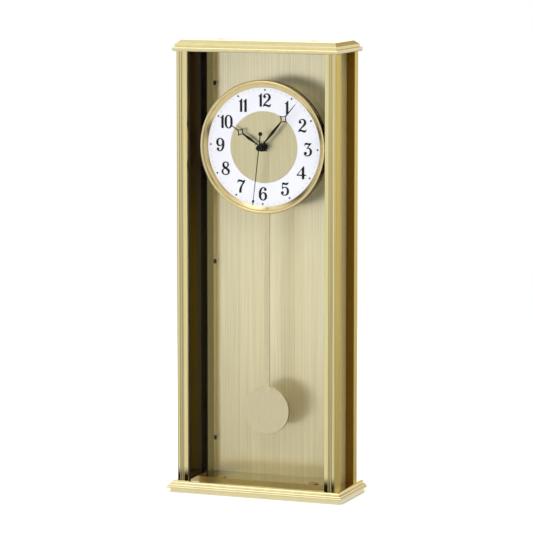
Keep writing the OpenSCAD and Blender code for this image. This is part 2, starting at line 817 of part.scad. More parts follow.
// Posts that carry the gear bridge, and the bridge's outline
bridge_posts = [[24.5, -8.6], [9, 16.5]];
bridge_post_r = 1.2;
bridge_half = 26.8;
bridge_low = -11;
bridge_shoulder = 13;
bridge_neck = 11;
bridge_high = 18.8;
bush_front = 3.4;

module movement_case() color(plastic) on_dial() difference() {
    union() {
        difference() {
            translate([-move_w / 2, move_front, -move_down]) cube([move_w, move_d, move_up + move_down]);
            // gear space
            translate([-bay_half, move_in, bay_wall_z + move_wall])
                cube([2 * bay_half, move_d, move_up - move_wall - bay_wall_z - move_wall]);
            // battery bay
            translate([-bay_half, move_in, -move_down + move_wall])
                cube([2 * bay_half, move_d, bay_wall_z + move_down - move_wall]);
            // finger notch in the bay's lower wall
            translate([-9, move_in + 12.5, -move_down - 1]) cube([18, move_d, 4]);
        }
        // threaded bush through the dial, studs and posts
        disc(move_front + eps, move_front + eps - disc_face + bush_front, bush_r);
        translate([0, 0, motion_dist]) disc(motion_layer + wheel_t + 0.3, motion_layer + wheel_t + 0.3 - move_front - eps, idler_r);
        both_sides() for (p = bridge_posts) translate([p[0], 0, p[1]])
            disc(bridge_layer, bridge_layer - move_front - eps, bridge_post_r);
        both_sides() translate([clip_x, antenna_y - antenna_r - clip_wall, move_up - eps])
            cube([clip_w, 2 * (antenna_r + clip_wall), antenna_up - move_up + clip_wall + eps]);
    }
    translate([-move_w, antenna_y, antenna_up]) rotate([0, 90, 0]) cylinder(r = antenna_r, h = 2 * move_w);
    disc(move_in + 1, 20, bush_bore);
    both_sides() {
        translate([-idler_dist, 0, 0]) disc(move_in + 1, 1 + pivot_depth + set_gap, idler_r + run);
        translate([rotor_at[0], 0, rotor_at[1]]) disc(move_in + 1, 1 + pivot_depth + set_gap, rotor_r + run);
    }
}

nut_t = 2.4;
nut_wall = 1.5;

module mounting_nut() color(blackened) on_dial() difference() {
    slab(disc_face, nut_t) circle(r = bush_r + nut_wall, $fn = 6);
    disc(disc_face + 1, nut_t + 2, bush_r + fit_gap);
}

module movement_cover() color(plastic) on_dial() difference() {
    translate([-bay_half + set_gap, move_back - move_wall, bay_wall_z + move_wall + set_gap])
        cube([2 * (bay_half - set_gap), move_wall, move_up - move_wall - bay_wall_z - move_wall - 2 * set_gap]);
    both_sides() translate([button_at[0], 0, button_at[1]])
        disc(move_back + 1, move_wall + 2, button_r + set_gap);
}

module gear_bridge() color(steel) on_dial() difference() {
    slab(bridge_layer + bridge_t, bridge_t) polygon([
        [-bridge_half, bridge_low], [bridge_half, bridge_low], [bridge_half, bridge_shoulder],
        [bridge_neck, bridge_shoulder], [bridge_neck, bridge_high], [-bridge_neck, bridge_high],
        [-bridge_neck, bridge_shoulder], [-bridge_half, bridge_shoulder]
    ]);
    disc(bridge_layer + bridge_t + 1, bridge_t + 2, second_r + run);
    both_sides() {
        translate([-idler_dist, 0, 0]) disc(bridge_layer + bridge_t + 1, bridge_t + 2, idler_r + run);
        translate([rotor_at[0], 0, rotor_at[1]]) disc(bridge_layer + bridge_t + 1, bridge_t + 2, rotor_r + run);
    }
}

// Two frames, each with an eye around its rotor and a bar through its coil.
module stators() color(steel) on_dial() both_sides() slab(stator_layer + stator_t, stator_t) difference() {
    translate([rotor_at[0] - stator_half, rotor_at[1] - 5])
        square([2 * stator_half, coil_up + core_w / 2 - rotor_at[1] + 5]);
    translate([rotor_at[0] - stator_half + leg_w, rotor_at[1] + 5])
        square([2 * (stator_half - leg_w), coil_up - core_w / 2 - rotor_at[1] - 5]);
    translate(rotor_at) circle(rotor_magnet_r + 0.7);
}

module motor_coils() color(copper) on_dial() both_sides()
    translate([rotor_at[0] - coil_l / 2, stator_layer + stator_t / 2, coil_up]) rotate([0, 90, 0])
        difference() {
            cylinder(r = coil_r, h = coil_l);
            translate([0, 0, -1]) cylinder(r = norm([core_w, stator_t]) / 2 + 0.05, h = coil_l + 2);
        }

module circuit_board() on_dial() {
    color([0.1, 0.35, 0.2]) translate([-bay_half + set_gap, board_y, board_low])
        cube([2 * (bay_half - set_gap), board_t, move_up - move_wall - set_gap - board_low]);
    color(blackened) {
        translate([-4, board_y - 1, board_low + 1]) cube([8, 1, 6]);
        both_sides() {
            translate([button_at[0] - 2, board_y + board_t, button_at[1] - 2]) cube([4, switch_h, 4]);
            translate([13, board_y - 1.6, 21]) cube([5, 1.6, 2]);
        }
    }
}

module antenna() on_dial() translate([0, antenna_y, antenna_up]) rotate([0, 90, 0]) {
    color([0.2, 0.2, 0.2]) translate([0, 0, -antenna_l / 2]) cylinder(r = antenna_r, h = antenna_l);
    color(copper) translate([0, 0, -winding_l / 2]) difference() {
        cylinder(r = antenna_r + winding_t, h = winding_l);
        translate([0, 0, -1]) cylinder(r = antenna_r, h = winding_l + 2);
    }
}

// ---- Battery, contacts and buttons ----

nub_l = 1;

module battery() on_dial() translate([0, battery_y, battery_z]) rotate([0, 90, 0]) {
    color([0.55, 0.16, 0.12]) translate([0, 0, -battery_l / 2]) cylinder(r = battery_r, h = battery_l - nub_l - 6);
    color([0.8, 0.65, 0.35]) translate([0, 0, battery_l / 2 - nub_l - 6]) cylinder(r = battery_r, h = 6);
    color(steel) translate([0, 0, battery_l / 2 - nub_l]) cylinder(r = 2.7, h = nub_l);
}

contact_w = 8;
contact_l = 12.8;

// Leaf contacts at the two ends of the bay, each a bent strip.
module battery_contacts() color(steel) on_dial() both_sides() {
    room = bay_half - battery_l / 2;
    translate([battery_l / 2, 0, battery_z - contact_w / 2]) linear_extrude(contact_w) polygon([
        [room - 0.1, move_in + 1.2], [room - 0.1, move_in + contact_l], [room - 0.5, move_in + contact_l],
        [room - 0.5, move_in + contact_l - 3], [0.1, battery_y + 0.4], [0.1, battery_y - 0.4],
        [room - 0.5, move_in + 5], [room - 0.5, move_in + 1.2]
    ]);
}

button_r = 1.9;

module push_button(side) on_dial() translate([side * button_at[0], 0, button_at[1]]) {
    disc(move_back + 1.2, move_back + 1.2 - (board_y + board_t + switch_h + button_travel + 0.1), button_r);
    disc(move_back - move_wall - set_gap, 0.8, button_r + 0.8);
}

module set_button() color([0.75, 0.12, 0.1]) push_button(-1);
module reset_button() color([0.9, 0.9, 0.88]) push_button(1);

// ---- Hands ----

// Bosses of the three hands
hour_boss_r = 4;
minute_boss_r = 3.4;
second_boss_r = 2.8;
boss_t = 1.4;
// Lance hands: half widths of lance, lines and collar, length and start of the lance, and size of the open eye
lance_half = 1.45;
line_half = 0.62;
tip_half = 0.28;
collar_half = 1.9;
hour_lance_from = 7;
hour_eye_back = 12.4;
hour_eye = 4.7;
minute_lance_from = 7.4;
minute_eye_back = 19.4;
minute_eye = 5.1;
eye_wall = 1.75;
// Second hand: counterpoise, half width and arrow head
poise_at = 14;
poise_r = 2;
second_half = 0.5;
arrow_l = 6.2;
arrow_half = 1.3;

// Outline of a lance hand that points up: collar, lance, open four-cornered eye and a fine tip.
module lance_hand(length, lance_from, eye_at, eye) {
    widest = lance_from + (eye_at - lance_from) * 0.45;
    difference() {
        union() {
            translate([-line_half, 0]) square([2 * line_half, lance_from + 0.3]);
            polygon([[-collar_half, lance_from - 0.7], [collar_half, lance_from - 0.7], [collar_half, lance_from],
                [line_half, lance_from + 0.2], [-line_half, lance_from + 0.2], [-collar_half, lance_from]]);
            polygon([[-line_half, lance_from], [-lance_half, widest], [-line_half, eye_at - eye * 0.8],
                [line_half, eye_at - eye * 0.8], [lance_half, widest], [line_half, lance_from]]);
            translate([0, eye_at]) concave_diamond(eye);
            polygon([[-line_half, eye_at + eye * 0.8], [line_half, eye_at + eye * 0.8],
                [tip_half, length], [-tip_half, length]]);
        }
        translate([0, eye_at]) concave_diamond(eye - eye_wall);
    }
}

// Four points joined by hollow sides.
module concave_diamond(r) {
    hollow = 0.24;
    polygon([for (q = [0 : 3], k = [0 : 5])
        let (
            t = k / 6,
            a = 90 * q,
            p = (1 - t) * [cos(a), sin(a)] + t * [cos(a + 90), sin(a + 90)],
            dip = 1 - hollow * 4 * t * (1 - t)
        )
        p * r * dip]);
}

module hand_at(angle, back) on_dial() rotate([0, angle, 0]) slab(back, hand_t) children();

hour_at_rest = 300 + minute_at / 12;

module hour_hand() color(blackened) difference() {
    union() {
        hand_at(hour_at_rest, hour_y) lance_hand(hour_l, hour_lance_from, hour_l - hour_eye_back, hour_eye);
        on_dial() disc(hour_y + boss_t, boss_t + hand_t, hour_boss_r);
    }
    on_dial() disc(hour_y + 3, 6, hour_r + fit_gap);
}

module minute_hand() color(blackened) difference() {
    union() {
        hand_at(minute_at, minute_y)
            lance_hand(minute_l, minute_lance_from, minute_l - minute_eye_back, minute_eye);
        on_dial() disc(minute_y + boss_t, boss_t + hand_t, minute_boss_r);
    }
    on_dial() disc(minute_y + 3, 6, minute_r + fit_gap);
}

// Slender hand with a counterpoise disc at one end and an arrow head at the other.
module second_hand() color(blackened) difference() {
    union() {
        hand_at(second_at, second_y) {
            polygon([[-second_half, -poise_at], [second_half, -poise_at], [second_half / 2, second_l - arrow_l / 2],
                [-second_half / 2, second_l - arrow_l / 2]]);
            translate([0, -poise_at]) circle(poise_r);
            polygon([[-0.3, second_l - arrow_l], [-arrow_half, second_l - 0.84 * arrow_l],
                [-0.35, second_l - 0.42 * arrow_l], [-0.12, second_l], [0.12, second_l],
                [0.35, second_l - 0.42 * arrow_l], [arrow_half, second_l - 0.84 * arrow_l], [0.3, second_l - arrow_l]]);
        }
        on_dial() disc(second_y + boss_t, 1 + boss_t, second_boss_r);
    }
    on_dial() disc(second_y + 3, 3 + hand_t, second_r + fit_gap);
}

// ---- Pendulum ----

bracket_top = z_dial - move_down;
front_cheek = -rod_y - cheek_gap;
back_cheek = -rod_y + cheek_gap;
magnet_t = back_cheek + rod_y - hanger_t / 2 - 0.5;

// Two cheeks under the movement, joined by a web, that carry the pivot pin.
module pendulum_bracket() color(steel) difference() {
    union() {
        translate([-bracket_w / 2, front_cheek - cheek_t, bracket_top - cheek_t])
            cube([bracket_w, 2 * (cheek_gap + cheek_t), cheek_t]);
        translate([-bracket_w / 2, front_cheek - cheek_t, z_pivot - 4])
            cube([bracket_w, cheek_t, bracket_top - z_pivot + 4]);
        translate([-bracket_w / 2, back_cheek, z_pivot - magnet_drop - 6])
            cube([bracket_w, cheek_t, bracket_top - z_pivot + magnet_drop + 6]);
    }
    translate([0, 0, z_pivot]) disc(back_cheek + cheek_t + 1, 20, pin_r + fit_gap);
}

module pendulum_pin() color(steel) translate([0, 0, z_pivot])
    disc(back_cheek + cheek_t, 2 * (cheek_gap + cheek_t), pin_r);

module drive_coil() color(copper) translate([0, 0, z_pivot - magnet_drop])
    disc(back_cheek + cheek_t + coil_t, coil_t, coil_out_r, 1.8);

// Lever that turns on the pin, holds the magnet and grips the top of the rod.
module pendulum_hanger() difference() {
    union() {
        color([0.85, 0.85, 0.82]) translate([0, 0, z_pivot]) disc(back_cheek - 0.3, 2 * cheek_gap - 0.6, pin_r + 1.6);
        color([0.85, 0.85, 0.82]) translate([-rod_w / 2 - 1.2, -rod_y - hanger_t / 2, z_pivot - hanger_l])
            cube([rod_w + 2.4, hanger_t, hanger_l]);
        color(steel) translate([0, 0, z_pivot - magnet_drop])
            disc(-rod_y + hanger_t / 2 + magnet_t, magnet_t, magnet_r);
    }
    translate([0, 0, z_pivot]) disc(back_cheek + 1, 2 * cheek_gap + 2, pin_r + run);
    translate([-rod_w / 2 - run, -rod_y - rod_t / 2 - run, z_pivot - hanger_l - 1])
        cube([rod_w + 2 * run, rod_t + 2 * run, rod_grip + 1]);
}

bob_skin = 1.4;
bob_rim = 0.9;
bob_front_y = -rod_y - rod_t / 2 - run;
rod_end = z_bob - bob_r * 0.6;

module pendulum_rod() color(brushed)
    translate([-rod_w / 2, -rod_y - rod_t / 2, rod_end]) cube([rod_w, rod_t, z_pivot - hanger_l + rod_grip - 2 * run - rod_end]);

// Dished disc: its face, and a rim that turns back and is notched for the rod.
module bob_front() color(brushed) translate([0, 0, z_bob]) difference() {
    union() {
        disc(bob_front_y, bob_skin, bob_r);
        disc(bob_front_y - bob_skin + bob_d, bob_d - 0.2, bob_r, bob_r - bob_rim);
    }
    translate([-rod_w / 2 - set_gap, bob_front_y, 0]) cube([rod_w + 2 * set_gap, bob_d, bob_r + 1]);
}

module bob_back() color(brushed) translate([0, 0, z_bob])
    disc(bob_front_y - bob_skin + bob_d, 0.8, bob_r - bob_rim - set_gap);

base_front_moulding();
base_left_moulding();
base_right_moulding();
base_rear_rail();
floor_plate();
cornice_front_rail();
cornice_left_rail();
cornice_right_rail();
cornice_rear_rail();
ceiling_plate();
top_plate();
case_screws();
left_pillar();
right_pillar();
left_rear_post();
right_rear_post();
left_side_panel();
right_side_panel();
back_panel();
post_screws();
front_glass();
glass_seals();
wall_hanger();
hanger_rivets();
dial_drum();
drum_screws();
bezel();
bezel_retainer();
dial_plate();
dial_centre_disc();
movement_case();
movement_cover();
gear_bridge();
mounting_nut();
hour_wheel();
motion_wheel();
minute_wheel();
second_wheel();
minute_idler();
second_idler();
minute_rotor();
second_rotor();
stators();
motor_coils();
circuit_board();
antenna();
battery();
battery_contacts();
set_button();
reset_button();
hour_hand();
minute_hand();
second_hand();
pendulum_bracket();
pendulum_pin();
drive_coil();
pendulum_hanger();
pendulum_rod();
bob_front();
bob_back();
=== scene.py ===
import math

import bpy
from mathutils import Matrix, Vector


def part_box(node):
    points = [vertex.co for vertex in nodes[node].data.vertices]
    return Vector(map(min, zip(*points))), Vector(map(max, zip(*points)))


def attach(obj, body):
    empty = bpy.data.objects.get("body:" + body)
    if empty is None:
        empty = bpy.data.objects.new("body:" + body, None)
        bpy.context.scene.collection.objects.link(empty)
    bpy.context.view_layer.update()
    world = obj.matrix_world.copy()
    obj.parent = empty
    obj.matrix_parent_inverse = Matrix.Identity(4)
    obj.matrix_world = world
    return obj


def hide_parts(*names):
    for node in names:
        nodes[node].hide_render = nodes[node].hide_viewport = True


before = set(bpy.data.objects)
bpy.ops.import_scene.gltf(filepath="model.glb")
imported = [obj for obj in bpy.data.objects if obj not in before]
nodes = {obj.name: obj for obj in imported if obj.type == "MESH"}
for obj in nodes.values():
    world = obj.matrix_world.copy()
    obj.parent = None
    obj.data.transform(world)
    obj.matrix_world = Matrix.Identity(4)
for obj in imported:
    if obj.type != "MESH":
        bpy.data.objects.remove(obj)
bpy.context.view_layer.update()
bpy.ops.object.select_all(action="DESELECT")
print("frame loaded,", len(nodes), "nodes")

mm = 0.001
dialLow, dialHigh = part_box("dial_plate")
dialX, dialZ = (dialLow.x + dialHigh.x) / 2, (dialLow.z + dialHigh.z) / 2
ringFace = dialLow.y  # front of the white ring
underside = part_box("base_front_moulding")[0].z
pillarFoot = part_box("left_pillar")[0].z
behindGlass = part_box("front_glass")[1].y
panelLow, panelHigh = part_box("right_side_panel")
panelMiddle = (panelLow.x + panelHigh.x) / 2  # how far the middle of a side panel is from the clock's middle


def toLinear(hexColour):
    channels = [int(hexColour[i:i + 2], 16) / 255 for i in (0, 2, 4)]
    return tuple(c / 12.92 if c <= 0.04045 else ((c + 0.055) / 1.055) ** 2.4 for c in channels) + (1.0,)


def addNode(tree, kind, settings=(), links=()):
    # settings and links are pairs; a name or number that is an input goes to that socket, anything else is a property
    node = tree.nodes.new(kind)
    for key, value in settings:
        if isinstance(key, int) or key in node.inputs:
            node.inputs[key].default_value = value
        else:
            setattr(node, key, value)
    for key, socket in links:
        tree.links.new(socket, node.inputs[key])
    return node


def pickOnly(piece):
    bpy.ops.object.select_all(action="DESELECT")
    piece.select_set(True)
    bpy.context.view_layer.objects.active = piece


def startMaterial(name, settings):
    material = bpy.data.materials.new(name)
    material.use_nodes = True
    tree = material.node_tree
    tree.nodes.clear()
    shader = addNode(tree, "ShaderNodeBsdfPrincipled", settings)
    addNode(tree, "ShaderNodeOutputMaterial", links=[("Surface", shader.outputs["BSDF"])])
    return material, tree, shader


def opened(material):
    # the node tree and the shader of a finish that needs more than its grain
    return material.node_tree, material.node_tree.nodes["Principled BSDF"]


def grainIn(tree, spacing, detail=2, kind="ShaderNodeTexNoise", settings=()):
    # a pattern on the clock's own coordinates, its spacing in mm along X, Y and Z; what is too fine to show is coarser
    place = addNode(tree, "ShaderNodeTexCoord")
    scaled = addNode(tree, "ShaderNodeMapping", [("Scale", tuple(1 / (s * mm) for s in spacing))],
                     [("Vector", place.outputs["Object"])])
    return addNode(tree, kind, [("Scale", 1.0), ("Detail", detail)] + list(settings),
                   [("Vector", scaled.outputs["Vector"])]).outputs["Fac"]


# the Mix node's two inputs and its output for each type of data, by number, because their names repeat
colourA, colourB, mixedColour = 6, 7, 2
numberA, numberB, mixedNumber = 2, 3, 0
grainSpan = (0.3, 0.7)  # nearly all of a noise lies between these values


def followGrain(tree, shader, grain, tints=None, rough=None, relief=None, span=grainSpan):
    # the grain moves the colour between two tints and the roughness between two numbers, and raises the surface by
    # relief, which is a strength and a depth in mm
    low, high = span
    if tints:
        share = addNode(tree, "ShaderNodeMapRange", [("From Min", low), ("From Max", high)], [("Value", grain)])
        tint = addNode(tree, "ShaderNodeMix", [("data_type", "RGBA"), (colourA, toLinear(tints[0])),
                                               (colourB, toLinear(tints[1]))], [(0, share.outputs[0])])
        tree.links.new(tint.outputs[mixedColour], shader.inputs["Base Color"])
    if rough:
        polish = addNode(tree, "ShaderNodeMapRange", [("From Min", low), ("From Max", high), ("To Min", rough[0]),
                                                      ("To Max", rough[1])], [("Value", grain)])
        tree.links.new(polish.outputs[0], shader.inputs["Roughness"])
    if relief:
        bump = addNode(tree, "ShaderNodeBump", [("Strength", relief[0]), ("Distance", relief[1] * mm)],
                       [("Height", grain)])
        tree.links.new(bump.outputs["Normal"], shader.inputs["Normal"])


def grainedFinish(name, settings, spacing, detail=2, **follows):
    # most finishes: fixed values on the shader, and one grain that moves the others
    material, tree, shader = startMaterial(name, settings)
    followGrain(tree, shader, grainIn(tree, spacing, detail), **follows)
    return material


def layOver(tree, shader, socket, mask, value):
    # where the mask is 1, puts a hex colour, a number or a socket over what the shader's own socket has so far
    below = shader.inputs[socket]
    kind, a, b, mixed = (("RGBA", colourA, colourB, mixedColour) if below.type == "RGBA" else
                         ("FLOAT", numberA, numberB, mixedNumber))
    over = addNode(tree, "ShaderNodeMix", [("data_type", kind), (a, below.default_value)], [(0, mask)])
    if below.is_linked:
        tree.links.new(below.links[0].from_socket, over.inputs[a])
    if isinstance(value, bpy.types.NodeSocket):
        tree.links.new(value, over.inputs[b])
    else:
        over.inputs[b].default_value = toLinear(value) if kind == "RGBA" else value
    tree.links.new(over.outputs[mixed], below)


def partsOf(tree, kind, output):
    # X, Y and Z of a place or a direction
    source = addNode(tree, kind)
    return addNode(tree, "ShaderNodeSeparateXYZ", links=[("Vector", source.outputs[output])]).outputs


def insideOfCase(tree, reach=0.0):
    # 1 between the side panels and behind the glass, or up to reach in front of the glass's back, and 0 elsewhere
    place = partsOf(tree, "ShaderNodeTexCoord", "Object")
    apart = addNode(tree, "ShaderNodeMath", [("operation", "ABSOLUTE")], [(0, place["X"])])
    between = addNode(tree, "ShaderNodeMath", [("operation", "LESS_THAN"), (1, panelMiddle)], [(0, apart.outputs[0])])
    behind = addNode(tree, "ShaderNodeMath", [("operation", "GREATER_THAN"), (1, behindGlass - reach)],
                     [(0, place["Y"])])
    return addNode(tree, "ShaderNodeMath", [("operation", "MULTIPLY")],
                   [(0, between.outputs[0]), (1, behind.outputs[0])]).outputs[0]


paintedCeilingShadeHeights = {"low": -0.2, "high": -0.03}  # heights in m between which the painted shade darkens the inner faces towards the ceiling


def innerColour(tree, lowHex, highHex):
    # painted reflection and shade: a face inside the case is given the olive it would mirror of the back low down, and
    # a painted dark shade near the ceiling
    rise = addNode(tree, "ShaderNodeMapRange", [
        ("interpolation_type", "SMOOTHSTEP"), ("From Min", paintedCeilingShadeHeights["low"]), ("From Max", paintedCeilingShadeHeights["high"])],
        [("Value", partsOf(tree, "ShaderNodeTexCoord", "Object")["Z"])])
    return addNode(tree, "ShaderNodeMix", [("data_type", "RGBA"), (colourA, toLinear(lowHex)),
                                           (colourB, toLinear(highHex))], [(0, rise.outputs[0])]).outputs[mixedColour]


goldEdge = toLinear("e0cb86")  # gold stays gold where it is looked at along its surface

# brass-coloured anodised extrusion, polished: a mirror that is a little soft, with faint drawing lines along its length
pillars = {
    "inside": ("4c4416", "060502"),  # painted reflection and shade inside the case, low and high
    "paintedFootShade": "1c1606",  # painted shade: the flat fronts are darkened where they stand on the base, standing in for the shadow of their own foot that they mirror
    "footFrom": 16 * mm, "footFull": 5 * mm,  # heights over the base
    "flatFront": -0.96,  # what faces more to the front than this
}
drawnGold = grainedFinish("drawnGoldAnodised", [("Metallic", 1.0), ("Specular Tint", goldEdge)], (0.9, 0.9, 90),
                          tints=("d3c68e", "e0d4a4"), rough=(0.06, 0.11))
tree, shader = opened(drawnGold)
# inside the case the colour is a painted reflection and shade
layOver(tree, shader, "Base Color", insideOfCase(tree), innerColour(tree, *pillars["inside"]))
# painted shade on the flat fronts just above the base
nearFoot = addNode(tree, "ShaderNodeMapRange", [
    ("interpolation_type", "SMOOTHSTEP"), ("From Min", pillarFoot + pillars["footFrom"]),
    ("From Max", pillarFoot + pillars["footFull"])], [("Value", partsOf(tree, "ShaderNodeTexCoord", "Object")["Z"])])
flatFront = addNode(tree, "ShaderNodeMath", [("operation", "LESS_THAN"), (1, pillars["flatFront"])],
                    [(0, partsOf(tree, "ShaderNodeNewGeometry", "Normal")["Y"])])
paintedFootShadeMask = addNode(tree, "ShaderNodeMath", [("operation", "MULTIPLY")],
                   [(0, nearFoot.outputs[0]), (1, flatFront.outputs[0])])
layOver(tree, shader, "Base Color", paintedFootShadeMask.outputs[0], pillars["paintedFootShade"])

# cast and polished brass-coloured mouldings: the same finish with buffing marks in all directions, and on the ledge
# behind the glass a satin roughness under a painted shade of deeper gold
ledge = {
    "reach": 4 * mm,  # in front of the glass's back
    "facingUp": 0.9,  # what faces more upwards than this
    # the painted shade on the ledge, and its satin roughness
    "tint": "a8913a", "rough": 0.42,
}
buffedGold = grainedFinish("buffedGoldCasting", [("Metallic", 1.0)], (9, 9, 9), detail=3,
                           tints=("dbcf9e", "e1d6a8"), rough=(0.04, 0.06))
tree, shader = opened(buffedGold)
upwards = addNode(tree, "ShaderNodeMath", [("operation", "GREATER_THAN"), (1, ledge["facingUp"])],
                  [(0, partsOf(tree, "ShaderNodeNewGeometry", "Normal")["Z"])])
onLedge = addNode(tree, "ShaderNodeMath", [("operation", "MULTIPLY")],
                  [(0, upwards.outputs[0]), (1, insideOfCase(tree, ledge["reach"]))])
# painted shade of deeper gold on the ledge
layOver(tree, shader, "Base Color", onLedge.outputs[0], ledge["tint"])
layOver(tree, shader, "Roughness", onLedge.outputs[0], ledge["rough"])

# the top plate is lapped flat and lacquered clear, so it whitens where it is looked at along its surface
lappedGold = grainedFinish("lappedGoldPlate", [("Metallic", 1.0)], (12, 6, 6), detail=3,
                           tints=("dccf96", "e4d8a4"), rough=(0.05, 0.1))

# the floor plate is a mirror-polished sheet of deeper brass: it mirrors the back upside down, and a painted reflection
# of the dark side of the case darkens its left end
paintedFloorReflection = {"full": -66 * mm, "gone": -36 * mm, "tint": "2e280c"}  # places from the clock's middle where the painted reflection is full and gone
floorBrass = grainedFinish("polishedFloorBrass", [("Metallic", 1.0)], (30, 3, 3), detail=3,
                           tints=("8f7a28", "aa9540"), rough=(0.03, 0.08))
tree, shader = opened(floorBrass)
paintedSideReflectionMask = addNode(tree, "ShaderNodeMapRange", [
    ("interpolation_type", "SMOOTHSTEP"), ("From Min", paintedFloorReflection["gone"]), ("From Max", paintedFloorReflection["full"])],
    [("Value", partsOf(tree, "ShaderNodeTexCoord", "Object")["X"])])
layOver(tree, shader, "Base Color", paintedSideReflectionMask.outputs[0], paintedFloorReflection["tint"])

# the bezel is spun from a redder brass and polished on the lathe: turning lines 0.6 mm apart run round it
turningSpacing = 0.6 * mm
spunBrass, tree, shader = startMaterial("spunBezelBrass", [("Metallic", 1.0)])
place = addNode(tree, "ShaderNodeTexCoord")
offCentre = addNode(tree, "ShaderNodeVectorMath", [("operation", "SUBTRACT"), (1, (dialX, 0.0, dialZ))],
                    [(0, place.outputs["Object"])])
fromAxis = addNode(tree, "ShaderNodeVectorMath", [("operation", "MULTIPLY"), (1, (1.0, 0.0, 1.0))],
                   [(0, offCentre.outputs[0])])
radius = addNode(tree, "ShaderNodeVectorMath", [("operation", "LENGTH")], [(0, fromAxis.outputs[0])])
turning = addNode(tree, "ShaderNodeTexNoise", [
    ("noise_dimensions", "1D"), ("Scale", 1 / turningSpacing), ("Detail", 2.0)], [("W", radius.outputs["Value"])])
followGrain(tree, shader, turning.outputs["Fac"], tints=("dac58a", "e8d6a4"), rough=(0.1, 0.16))

# rolled brass sheet: mirror polished on the side that faces into the case, where its colour is a painted dark
# reflection and shade; satin and lacquered on the outside
sidePanels = {
    "outside": "fbe9a4", "satin": 0.3,
    "inside": ("232008", "010201"), "haze": (0.1, 0.15),  # painted dark reflection and shade, low and high, and the roughness of the polish
}
mirrorBrass, tree, shader = startMaterial("mirrorBrassSheet", [
    ("Base Color", toLinear(sidePanels["outside"])), ("Metallic", 0.7), ("Roughness", sidePanels["satin"]),
    ("Specular Tint", goldEdge)])
haze = addNode(tree, "ShaderNodeMapRange", [
    ("From Min", grainSpan[0]), ("From Max", grainSpan[1]), ("To Min", sidePanels["haze"][0]),
    ("To Max", sidePanels["haze"][1])], [("Value", grainIn(tree, (25, 25, 60)))])
inside = insideOfCase(tree)
layOver(tree, shader, "Roughness", inside, haze.outputs[0])
# painted dark reflection and shade on the inner face
layOver(tree, shader, "Base Color", inside, innerColour(tree, *sidePanels["inside"]))

# the rear posts are the same extrusion, coloured by which way each face looks: a painted shade on the outer front
# faces, and inside the case a painted light on the sides and a painted olive shade on the front faces
posts = {
    # the outside colour is the posts' own; the outer front one is painted shade
    "outside": "d6c992", "paintedOuterFrontShade": "7a5e26",
    # painted light on the inner sides, painted shade on the inner fronts
    "inside": "f8eab8", "paintedInnerFrontShade": "6a613c",
    "front": -0.6,  # what faces more to the front than this
}
postGold = grainedFinish("postGoldAnodised", [
    ("Base Color", toLinear(posts["outside"])), ("Metallic", 0.85), ("Specular Tint", goldEdge)],
    (0.9, 0.9, 90), rough=(0.06, 0.11))
tree, shader = opened(postGold)
frontFace = addNode(tree, "ShaderNodeMath", [("operation", "LESS_THAN"), (1, posts["front"])],
                    [(0, partsOf(tree, "ShaderNodeNewGeometry", "Normal")["Y"])]).outputs[0]
paintedInnerLightAndShade = addNode(tree, "ShaderNodeMix", [("data_type", "RGBA"), (colourA, toLinear(posts["inside"])),
                                            (colourB, toLinear(posts["paintedInnerFrontShade"]))], [(0, frontFace)])
# painted shade on the outer front faces
layOver(tree, shader, "Base Color", frontFace, posts["paintedOuterFrontShade"])
# painted light and shade inside the case
layOver(tree, shader, "Base Color", insideOfCase(tree), paintedInnerLightAndShade.outputs[mixedColour])

# brass sheet brushed straight down: fine scratches 0.8 mm apart as drawn (0.1 mm on the real one), light smeared
# sideways, and a painted shade that darkens it towards the foot
backSheet = {"top": 0.0, "foot": -0.36, "paintedShadeBelow": "e7e5d9", "scratchSpan": (0.36, 0.64)}  # heights in m
brushedBrass, tree, shader = startMaterial("brushedPaleBrass", [
    ("Metallic", 0.75), ("Roughness", 0.28), ("Anisotropic", 0.75)])
scratches = grainIn(tree, (0.8, 0.8, 160), detail=4, settings=[("Roughness", 0.65)])
followGrain(tree, shader, scratches, tints=("e4dab2", "f7f0d2"), relief=(0.1, 0.1), span=backSheet["scratchSpan"])
# painted shade: the colour is darkened from the top down to the foot
downwards = addNode(tree, "ShaderNodeMapRange", [("From Min", backSheet["top"]), ("From Max", backSheet["foot"])],
                    [("Value", partsOf(tree, "ShaderNodeTexCoord", "Object")["Z"])])
paintedDownwardShade = addNode(tree, "ShaderNodeMix", [
    ("data_type", "RGBA"), ("blend_type", "MULTIPLY"), (colourB, toLinear(backSheet["paintedShadeBelow"]))],
    [(0, downwards.outputs[0]), (colourA, shader.inputs["Base Color"].links[0].from_socket)])
tree.links.new(paintedDownwardShade.outputs[mixedColour], shader.inputs["Base Color"])

# the same brass with a satin finish, grained so finely that no lines show: soft even light
satinBrass = grainedFinish("satinPaleBrass", [("Metallic", 1.0), ("Roughness", 0.36)], (0.7, 0.7, 5), detail=3,
                           tints=("d9cda6", "e3d7b3"))

# champagne foil of the dial centre, brushed as closely as the back but with shorter lines
dialFoil = grainedFinish("brushedChampagneFoil", [("Metallic", 1.0), ("Roughness", 0.33), ("Anisotropic", 0.4)],
                         (0.8, 0.8, 60), detail=3, tints=("d3ca9e", "e0d7b2"))

# champagne lacquer over the pressed steel drum: mostly diffuse with a soft shine
drumLacquer = grainedFinish("champagneLacquer", [("Metallic", 0.45), ("Roughness", 0.38)], (0.8, 0.8, 0.8),
                            tints=("c9bd93", "d6cba4"))

# printed satin white lacquer on the dial, with the slight tooth of screen ink
dialWhite = grainedFinish("dialWhiteLacquer", [("Roughness", 0.42)], (0.5, 0.5, 0.5),
                          tints=("c6c7cf", "cdced5"), relief=(0.1, 0.02))

# black stoving enamel on stamped hands: thin, with a low gloss that wanders where the coat pools
blackEnamel = grainedFinish("blackStovingEnamel", [("Base Color", toLinear("050505")), ("Specular IOR Level", 0.15)],
                            (2, 2, 2), rough=(0.3, 0.42))

